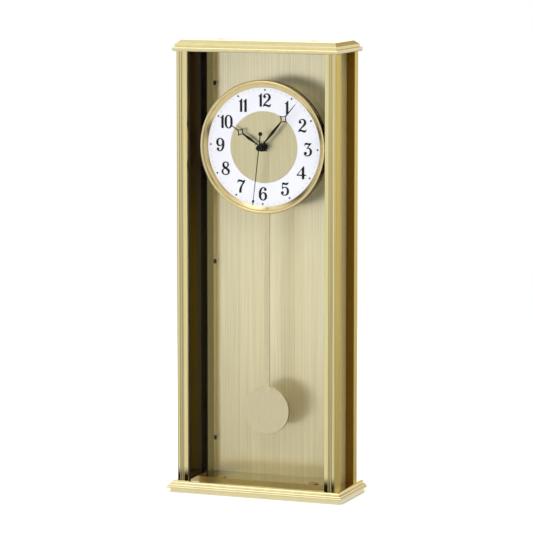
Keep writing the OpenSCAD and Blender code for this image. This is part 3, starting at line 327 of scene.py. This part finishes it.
# black screen ink of the figures and hour dots, and grey of the minute dots: flat and matt
blackInk = grainedFinish("blackScreenInk", [("Roughness", 0.6), ("Specular IOR Level", 0.2)], (0.4, 0.4, 0.4),
                         tints=("070709", "101013"))
greyInk = grainedFinish("greyScreenInk", [("Roughness", 0.6)], (0.4, 0.4, 0.4), tints=("94949c", "a6a6ae"))

# extruded rubber glazing strip: matt black with a faint lengthwise ripple
sealRubber = grainedFinish("glazingRubber", [("Base Color", toLinear("12100d")), ("Roughness", 0.75)],
                           (1, 1, 30), detail=1, relief=(0.3, 0.1))

# float glass, 2 mm: clear face on, and more of a mirror the flatter it is looked at, so its cover follows Fresnel
glass = {"index": 1.45, "mirror": 0.07}
floatGlass = grainedFinish("floatGlass", [
    ("Base Color", toLinear("f4f8f6")), ("Metallic", 1.0), ("Roughness", 0.02)], (120, 120, 120), detail=1,
    relief=(0.02, 0.05))
tree, shader = opened(floatGlass)
sheen = addNode(tree, "ShaderNodeFresnel", [("IOR", glass["index"])])
cover = addNode(tree, "ShaderNodeMath", [("operation", "MULTIPLY"), (1, glass["mirror"])], [(0, sheen.outputs[0])])
tree.links.new(cover.outputs[0], shader.inputs["Alpha"])

# zinc plated steel sheet and wire: cool grey, half matt, fine rolling lines
zincSteel = grainedFinish("zincPlatedSteel", [("Metallic", 1.0)], (8, 8, 0.8), detail=3,
                          tints=("a9acb1", "c6c9cd"), rough=(0.32, 0.45))

# moulded ABS of the movement: near black with a spark-eroded texture
sparkAbs = grainedFinish("sparkErodedAbs", [("Roughness", 0.55)], (0.6, 0.6, 0.6), detail=3,
                         tints=("1e1e20", "2b2b2e"), relief=(0.35, 0.06))

# turned and hobbed brass of the wheels: a warm metal with short cutting marks
cutBrass = grainedFinish("cutWheelBrass", [("Base Color", toLinear("d9b25a")), ("Metallic", 1.0)], (0.5, 0.5, 0.5),
                         rough=(0.25, 0.38))

# enamelled copper wire wound across the coil: 0.3 mm turns, drawn coarser to show as ridges
woundCopper, tree, shader = startMaterial("enamelledCopperWire", [("Metallic", 0.8), ("Roughness", 0.35)])
turns = grainIn(tree, (2, 2, 2), kind="ShaderNodeTexWave", settings=[("Distortion", 0.4), ("bands_direction", "X")])
followGrain(tree, shader, turns, tints=("7e3c1a", "b96535"), relief=(0.5, 0.15), span=(0.1, 0.9))

# green solder resist over glass-fibre board: a low shine, with the weave faintly under it
solderResist = grainedFinish("greenSolderResist", [("Roughness", 0.35)], (1.5, 1.5, 1.5),
                             tints=("154a2b", "20663d"))

# moulded acetal, white and red: smooth and waxy, a little cloudy
whiteAcetal = grainedFinish("whiteAcetal", [("Roughness", 0.4)], (3, 3, 3), tints=("e2e1d9", "eeede7"))
redAcetal = grainedFinish("redAcetal", [("Roughness", 0.35)], (3, 3, 3), tints=("a81e18", "bd2a22"))


def bandedAlongX(name, starts, hexes, settings):
    # one solid with differently coloured lengths: each colour but the first has its start, in mm
    material, tree, shader = startMaterial(name, [("Base Color", toLinear(hexes[0]))] + settings)
    along = partsOf(tree, "ShaderNodeTexCoord", "Object")["X"]
    for start, colour in zip(starts, hexes[1:]):
        past = addNode(tree, "ShaderNodeMath", [("operation", "GREATER_THAN"), (1, start * mm)], [(0, along)])
        layOver(tree, shader, "Base Color", past.outputs[0], colour)
    return material


# sleeve of an alkaline cell: printed film in two tones, and its bare steel ends
cellSleeve = bandedAlongX("printedCellSleeve", [-24.2, 14.5, 23.2], ["c9cbce", "1d1d20", "c08a3e", "c9cbce"],
                          [("Metallic", 0.5), ("Roughness", 0.3)])
# ferrite rod with a copper winding over its middle
ferriteRod = bandedAlongX("ferriteAndWinding", [-11, 11], ["2f2c2a", "a8562a", "2f2c2a"], [("Roughness", 0.5)])

# which CAD nodes wear each finish
finishes = [
    (drawnGold, ["left_pillar", "right_pillar"]),
    (postGold, ["left_rear_post", "right_rear_post"]),
    (buffedGold, ["base_front_moulding", "base_left_moulding", "base_right_moulding", "base_rear_rail",
                  "cornice_front_rail", "cornice_left_rail", "cornice_right_rail", "cornice_rear_rail",
                  "ceiling_plate", "case_screws"]),
    (lappedGold, ["top_plate"]),
    (floorBrass, ["floor_plate"]),
    (spunBrass, ["bezel"]),
    (mirrorBrass, ["left_side_panel", "right_side_panel"]),
    (brushedBrass, ["back_panel", "hanger_rivets"]),
    (dialFoil, ["dial_centre_disc"]),
    (satinBrass, ["pendulum_rod", "bob_front", "bob_back"]),
    (drumLacquer, ["dial_drum"]),
    (dialWhite, ["dial_plate"]),
    (blackEnamel, ["hour_hand", "minute_hand", "second_hand", "bezel_retainer", "post_screws", "mounting_nut"]),
    (sealRubber, ["glass_seals"]),
    (floatGlass, ["front_glass"]),
    (zincSteel, ["wall_hanger", "drum_screws", "gear_bridge", "stators", "battery_contacts", "pendulum_bracket",
                 "pendulum_pin"]),
    (sparkAbs, ["movement_case", "movement_cover"]),
    (cutBrass, ["hour_wheel", "motion_wheel", "minute_wheel", "second_wheel", "minute_idler", "second_idler",
                "minute_rotor", "second_rotor"]),
    (woundCopper, ["motor_coils", "drive_coil"]),
    (solderResist, ["circuit_board"]),
    (ferriteRod, ["antenna"]),
    (cellSleeve, ["battery"]),
    (redAcetal, ["set_button"]),
    (whiteAcetal, ["reset_button", "pendulum_hanger"]),
]
for material, names in finishes:
    for name in names:
        nodes[name].data.materials.clear()
        nodes[name].data.materials.append(material)
finished = {name for _, names in finishes for name in names}
print("materials set, nodes without one:", sorted(set(nodes) - finished))


# the real edges are broken by polishing and catch a thread of light: width in mm for each piece that shows one
easing = {
    "base_front_moulding": 0.25, "base_left_moulding": 0.25, "base_right_moulding": 0.25,
    "cornice_front_rail": 0.25, "cornice_left_rail": 0.25, "cornice_right_rail": 0.25, "top_plate": 0.3,
    "left_pillar": 0.2, "right_pillar": 0.2, "left_rear_post": 0.25, "right_rear_post": 0.25,
    "floor_plate": 0.2, "bezel": 0.2, "bob_front": 0.3, "pendulum_rod": 0.1, "dial_drum": 0.3,
}
edges = {
    "mergeWithin": 0.002 * mm,
    "flatWithin": 0.4,  # degrees between triangles of one flat face
    "easedFrom": 26, "smoothUpTo": 40,  # degrees between the two faces at an edge
    "steps": 2,  # across each eased edge
    "flatWeight": 100,  # how far the broad faces outweigh the narrow ones in the shading
}


def easedCopy(name, width):
    # the CAD mesh is loose triangles, so a copy is merged and its flat faces made whole before the edges are bevelled
    piece = bpy.data.objects.new(name + "_eased", nodes[name].data.copy())
    bpy.context.scene.collection.objects.link(piece)
    pickOnly(piece)
    bpy.ops.mesh.customdata_custom_splitnormals_clear()
    bpy.ops.object.mode_set(mode="EDIT")
    bpy.ops.mesh.select_all(action="SELECT")
    bpy.ops.mesh.remove_doubles(threshold=edges["mergeWithin"])
    bpy.ops.mesh.dissolve_limited(angle_limit=math.radians(edges["flatWithin"]))
    bpy.ops.object.mode_set(mode="OBJECT")
    bevel = piece.modifiers.new("ease", "BEVEL")
    bevel.width = width * mm
    bevel.segments = edges["steps"]
    bevel.limit_method = "ANGLE"
    bevel.angle_limit = math.radians(edges["easedFrom"])
    bpy.ops.object.modifier_apply(modifier="ease")
    bpy.ops.object.shade_smooth_by_angle(angle=math.radians(edges["smoothUpTo"]))
    flat = piece.modifiers.new("flat", "WEIGHTED_NORMAL")  # keeps the broad faces flat between their rounded edges
    flat.keep_sharp = True
    flat.weight = edges["flatWeight"]
    bpy.ops.object.modifier_apply(modifier="flat")
    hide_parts(name)
    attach(piece, "pendulum" if name in ("bob_front", "pendulum_rod") else "case")
    return piece


easedPieces = {name: easedCopy(name, width) for name, width in easing.items()}
print("edges eased on", len(easedPieces), "pieces")

# the dark inner side at the left is kept out of reflections, so that the brushed back stays evenly lit to its edge
for piece in (nodes["left_side_panel"], easedPieces["left_pillar"]):
    piece.visible_glossy = False


# outlines of the figures, one unit high: points with a 1 are corners, the others run smoothly
figureOutlines = {
    "0": [[(.3, -.02), (.5, .08), (.6, .5), (.5, .92), (.3, 1.02), (.1, .92), (0, .5), (.1, .08)],
          [(.3, .03), (.4, .12), (.44, .5), (.4, .88), (.3, .97), (.2, .88), (.16, .5), (.2, .12)]],
    "1": [[(0, .8, 1), (0, .83, 1), (.08, .86), (.17, 1, 1), (.25, 1, 1), (.25, 0, 1), (.09, 0, 1), (.09, .79, 1)]],
    "2": [[(0, 0, 1), (.12, .055), (.22, .055), (.36, 0), (.47, -.02), (.57, .05), (.6, .21, 1), (.575, .21, 1),
           (.535, .135), (.45, .12), (.33, .155), (.22, .18), (.135, .16, 1), (.24, .29), (.42, .45), (.55, .6),
           (.585, .74), (.52, .93), (.31, 1.02), (.12, .95), (.03, .79), (.07, .69), (.15, .675), (.22, .73),
           (.2, .82), (.15, .87), (.19, .94), (.29, .965), (.39, .9), (.425, .74), (.37, .58), (.22, .38),
           (.05, .17), (0, .05, 1)]],
    "3": [[(.05, .79, 1), (.075, .79, 1), (.13, .865), (.24, .88), (.37, .855), (.44, .875, 1), (.21, .595, 1),
           (.24, .57, 1), (.34, .58), (.425, .5), (.455, .31), (.41, .12), (.29, .035), (.17, .07), (.15, .12),
           (.21, .17), (.22, .25), (.15, .3), (.065, .29), (.015, .2), (.05, .07), (.16, -.005), (.3, -.02),
           (.5, .06), (.61, .3), (.56, .52), (.44, .62), (.31, .635, 1), (.57, .98, 1), (.55, 1, 1), (.4, .975),
           (.26, 1), (.14, 1.01), (.08, .95)]],
    "4": [[(.51, 1, 1), (.555, 1, 1), (.555, .335, 1), (.7, .335, 1), (.7, .265, 1), (.555, .265, 1), (.555, 0, 1),
           (.39, 0, 1), (.39, .265, 1), (0, .265, 1), (0, .32, 1)],
          [(.39, .335, 1), (.065, .335, 1), (.39, .8, 1)]],
    "5": [[(.09, .97, 1), (.2, .985), (.34, .95), (.46, .965), (.555, 1.02, 1), (.575, 1, 1), (.52, .87),
           (.42, .82), (.28, .825), (.125, .855, 1), (.125, .585, 1), (.2, .635), (.33, .655), (.52, .57),
           (.61, .33), (.53, .08), (.3, -.02), (.14, .005), (.03, .1), (.015, .21), (.075, .29), (.16, .285),
           (.215, .23), (.2, .16), (.15, .11), (.19, .05), (.29, .035), (.41, .11), (.455, .32), (.41, .53),
           (.32, .6), (.2, .57), (.125, .49, 1), (.09, .49, 1)]],
    "6": [[(.47, .74), (.55, .77), (.575, .86), (.5, .965), (.35, 1.02), (.16, .93), (.035, .72), (0, .45),
           (.06, .13), (.3, -.02), (.53, .07), (.62, .3), (.55, .53), (.39, .62), (.26, .59), (.16, .5, 1),
           (.175, .68), (.22, .84), (.3, .94), (.38, .96), (.43, .925), (.4, .86), (.41, .78)],
          [(.32, .03), (.42, .11), (.46, .3), (.42, .48), (.32, .555), (.21, .48), (.165, .3), (.21, .11)]],
    "7": [[(.02, .78, 1), (.05, .79, 1), (.1, .865), (.2, .875), (.36, .835), (.465, .85, 1), (.31, .6), (.19, .32),
           (.15, 0, 1), (.32, 0, 1), (.33, .27), (.41, .56), (.59, .9), (.6, .99, 1), (.57, .995, 1), (.49, .955),
           (.36, .965), (.22, 1.015), (.1, 1), (.05, .95)]],
    "8": [[(.31, 1.02), (.5, .94), (.555, .78), (.49, .62), (.43, .535), (.56, .44), (.62, .26), (.53, .05),
           (.31, -.02), (.09, .05), (0, .24), (.07, .41), (.17, .49), (.09, .59), (.06, .75), (.13, .94)],
          [(.31, .965), (.42, .9), (.44, .77), (.375, .6), (.27, .66), (.2, .78), (.21, .9)],
          [(.31, .035), (.45, .09), (.485, .21), (.4, .35), (.24, .455), (.145, .36), (.12, .22), (.17, .09)]],
}
sixWidth = 0.62
figureOutlines["9"] = [[(sixWidth - x, 1.0 - y, *corner) for x, y, *corner in outline]
                       for outline in figureOutlines["6"]]  # a 6 turned half round

card = {
    "turn": 1.2,  # degrees that the card sits clockwise in its ring
    "ink": 0.05 * mm,
}
figures = {
    "height": 12.6 * mm,
    "ringRadius": 46.1 * mm,
    "wide": 1.09,  # how much broader than drawn
    "bolder": 0.014,  # added all round each stroke, in heights
    "gap": 0.09,  # between the two figures of 10, 11 and 12, in heights
    "width": 0.61, "widths": {"1": 0.25, "4": 0.70},  # of one figure, and of those that differ, in heights
    "curveSteps": 6,
    "mergeWithin": 1e-5,  # heights
}


def drawFigures(text):
    # a flat curve with one spline to an outline, centred on its own middle
    curve = bpy.data.curves.new("figure" + text, "CURVE")
    curve.dimensions = "2D"
    curve.fill_mode = "BOTH"
    curve.extrude = card["ink"] / 2 / figures["height"]
    curve.offset = figures["bolder"]
    curve.resolution_u = figures["curveSteps"]
    pen = 0.0
    for digit in text:
        for outline in figureOutlines[digit]:
            spline = curve.splines.new("BEZIER")
            spline.use_cyclic_u = True
            spline.bezier_points.add(len(outline) - 1)
            for point, (x, y, *corner) in zip(spline.bezier_points, outline):
                point.co = (pen + x, y, 0)
                point.handle_left_type = point.handle_right_type = "VECTOR" if corner else "AUTO"
        pen += figures["widths"].get(digit, figures["width"]) + figures["gap"]
    width = pen - figures["gap"]
    piece = bpy.data.objects.new("figure" + text, curve)
    bpy.context.scene.collection.objects.link(piece)
    pickOnly(piece)
    bpy.ops.object.convert(target="MESH")
    piece = bpy.context.object
    bpy.ops.object.mode_set(mode="EDIT")
    bpy.ops.mesh.select_all(action="SELECT")
    bpy.ops.mesh.remove_doubles(threshold=figures["mergeWithin"])
    bpy.ops.mesh.normals_make_consistent(inside=False)
    bpy.ops.transform.translate(value=(-width / 2, -0.5, 0))  # half its width and half its height of one unit
    bpy.ops.object.mode_set(mode="OBJECT")
    return piece


def layOnDial(piece, ringRadius, share):
    # turns a flat piece to face the front and sets it on the card, at a share of the way round the ring
    turn = math.radians(360 * share + card["turn"])
    pickOnly(piece)
    piece.rotation_euler = (math.radians(90), 0, 0)
    piece.location = (dialX + ringRadius * math.sin(turn), ringFace - card["ink"] / 2,
                      dialZ + ringRadius * math.cos(turn))
    bpy.ops.object.transform_apply(location=True, rotation=True, scale=True)


def finishPrint(pieces, name, material):
    bpy.ops.object.select_all(action="DESELECT")
    for piece in pieces:
        piece.select_set(True)
    bpy.context.view_layer.objects.active = pieces[0]
    bpy.ops.object.join()
    whole = bpy.context.object
    whole.name = name
    whole.data.materials.clear()
    whole.data.materials.append(material)
    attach(whole, "case")


figurePieces = []
for hour in range(1, 13):
    piece = drawFigures(str(hour))
    piece.scale = (figures["height"] * figures["wide"], figures["height"], figures["height"])
    layOnDial(piece, figures["ringRadius"], hour / 12)
    figurePieces.append(piece)
finishPrint(figurePieces, "dialFigures", blackInk)
print("figures printed")

dots = {
    "ringRadius": 56.2 * mm,
    "hourRadius": 0.95 * mm, "hourSides": 20,
    "minuteRadius": 0.5 * mm, "minuteSides": 12,
}
hourDots, minuteDots = [], []
for minute in range(60):
    size, row = ("hour", hourDots) if minute % 5 == 0 else ("minute", minuteDots)
    bpy.ops.mesh.primitive_cylinder_add(vertices=dots[size + "Sides"], radius=dots[size + "Radius"], depth=card["ink"])
    row.append(bpy.context.object)
    layOnDial(row[-1], dots["ringRadius"], minute / 60)
finishPrint(hourDots, "hourDots", blackInk)
finishPrint(minuteDots, "minuteDots", greyInk)
print("dots printed")


studio = {
    "lens": 212.8, "sensor": 36, "clipEnd": 50,
    "cameraAt": (1.11448, -2.91751, 0.20875),
    "lookAt": (-0.00124, -0.035, -0.18884),
    "floorRadius": 1.3, "floorSides": 96, "floorHex": "fafaf9", "floorRough": 0.9,
    "floorSolid": 0.3,  # share of its radius beyond which the floor fades out
    "keyAt": (-1.0, -1.95, -0.1), "keySize": (1.5, 1.8), "keyRadiance": 0.9,
    "topAt": (-0.1, -0.3, 1.6), "topSize": (1.8, 1.4), "topRadiance": 1.5,
    "fillAt": (0.6, -2.2, 1.6), "fillSize": (2.4, 2.2), "fillRadiance": 4.2,
    "lampsAimAt": (0, 0, -0.2),
    "roomRadiance": 0.04,
}


def aim(piece, at, target):
    piece.location = at
    piece.rotation_euler = (Vector(target) - Vector(at)).to_track_quat("-Z", "Y").to_euler()


bpy.ops.object.camera_add()
camera = bpy.context.object
camera.data.lens = studio["lens"]
camera.data.sensor_width = studio["sensor"]
camera.data.clip_end = studio["clipEnd"]
aim(camera, studio["cameraAt"], studio["lookAt"])
bpy.context.scene.camera = camera

for name in ("key", "top", "fill"):
    bpy.ops.object.light_add(type="AREA")
    lamp = bpy.context.object
    lamp.name = name + "Softbox"
    lamp.data.shape = "RECTANGLE"
    wide, high = studio[name + "Size"]
    lamp.data.size, lamp.data.size_y = wide, high
    lamp.data.energy = studio[name + "Radiance"] * math.pi * wide * high
    aim(lamp, studio[name + "At"], studio["lampsAimAt"])
    lamp.visible_glossy = False  # they light the dial and the floor; the polished metal mirrors paper instead

bpy.ops.mesh.primitive_circle_add(vertices=studio["floorSides"], radius=studio["floorRadius"], fill_type="NGON",
                                  location=(0, 0, underside))
floor = bpy.context.object
floor.name = "studioFloor"
# matt white card that fades out into the white round it
paleFloor, tree, shader = startMaterial("paleStudioFloor", [
    ("Base Color", toLinear(studio["floorHex"])), ("Roughness", studio["floorRough"])])
place = addNode(tree, "ShaderNodeTexCoord")
reach = addNode(tree, "ShaderNodeVectorMath", [("operation", "LENGTH")], [(0, place.outputs["Object"])])
fade = addNode(tree, "ShaderNodeMapRange", [
    ("From Min", studio["floorSolid"] * studio["floorRadius"]), ("From Max", studio["floorRadius"]),
    ("To Min", 1.0), ("To Max", 0.0)], [("Value", reach.outputs["Value"])])
tree.links.new(fade.outputs[0], shader.inputs["Alpha"])
floor.data.materials.append(paleFloor)
floor.visible_glossy = False  # the metal mirrors the paper under the clock instead

# what the polished metal mirrors: sheets of soft white paper hung round the clock in a dim room
paper = [
    # towards, full within degrees, gone beyond degrees, radiance, colour
    ((-0.3, -0.95, 0.1), 14, 32, 0.83, "ffffff"),
    ((-0.45, -0.9, 0.0), 20, 60, 0.15, "ffffff"),
    ((-0.25, -0.75, 0.62), 8, 16, 1.8, "ffffff"),
    ((-0.82, -0.55, 0.0), 5, 12, 1.4, "ffffff"),
    ((0.82, -0.57, 0.0), 14, 30, 0.75, "ffffff"),
    ((0.55, -0.6, 0.5), 10, 24, 0.8, "fffaf0"),
    ((-0.5, 0.87, 0.0), 16, 32, 0.95, "ffffff"),
    ((-0.2, 0.9, 0.4), 16, 36, 0.4, "ffdd94"),
    ((0.22, 0.93, -0.39), 5, 11, 0.9, "ffffff"),
    ((0.4, 0.9, 0.12), 10, 26, 0.9, "fffaf4"),
    ((-0.1, -0.15, 1.0), 36, 54, 1.0, "ffffff"),
    ((-1.0, 0.1, -0.05), 16, 42, 0.7, "ffffff"),
    ((0.9, 0.4, 0.0), 14, 36, 0.6, "ffffff"),
    ((0.55, 0.5, 0.67), 16, 40, 0.7, "ffffff"),
    ((-0.75, 0.3, 0.6), 14, 34, 0.6, "ffffff"),
    ((0.0, 0.0, -1.0), 56, 72, 0.84, "ffffff"),
]
world = bpy.data.worlds.new("whiteStudio")
bpy.context.scene.world = world
world.use_nodes = True
world.cycles.sampling_method = "NONE"  # the sheets are broad and soft, so reflections find them by themselves
tree = world.node_tree
tree.nodes.clear()
direction = addNode(tree, "ShaderNodeTexCoord")
total = None
for towards, inner, outer, radiance, tint in paper:
    turned = addNode(tree, "ShaderNodeVectorMath", [("operation", "DOT_PRODUCT"), (1, Vector(towards).normalized())],
                     [(0, direction.outputs["Generated"])])
    sheet = addNode(tree, "ShaderNodeMapRange", [
        ("interpolation_type", "SMOOTHSTEP"), ("From Min", math.cos(math.radians(outer))),
        ("From Max", math.cos(math.radians(inner))), ("To Min", 0.0), ("To Max", radiance)],
        [("Value", turned.outputs["Value"])])
    lit = addNode(tree, "ShaderNodeVectorMath", [("operation", "MULTIPLY_ADD"), (1, toLinear(tint)[:3])],
                  [(0, sheet.outputs[0])])
    if total:
        tree.links.new(total, lit.inputs[2])
    else:
        lit.inputs[2].default_value = (studio["roomRadiance"],) * 3  # the dim room under all the sheets
    total = lit.outputs[0]
room = addNode(tree, "ShaderNodeBackground", [("Strength", 1.0)], [("Color", total)])
white = addNode(tree, "ShaderNodeBackground", [("Strength", 1.0), ("Color", toLinear("ffffff"))])
rays = addNode(tree, "ShaderNodeLightPath")
seen = addNode(tree, "ShaderNodeMixShader", links=[
    (0, rays.outputs["Is Camera Ray"]), (1, room.outputs[0]), (2, white.outputs[0])])
addNode(tree, "ShaderNodeOutputWorld", links=[("Surface", seen.outputs[0])])
bpy.context.scene.view_settings.view_transform = "Standard"
print("studio set")
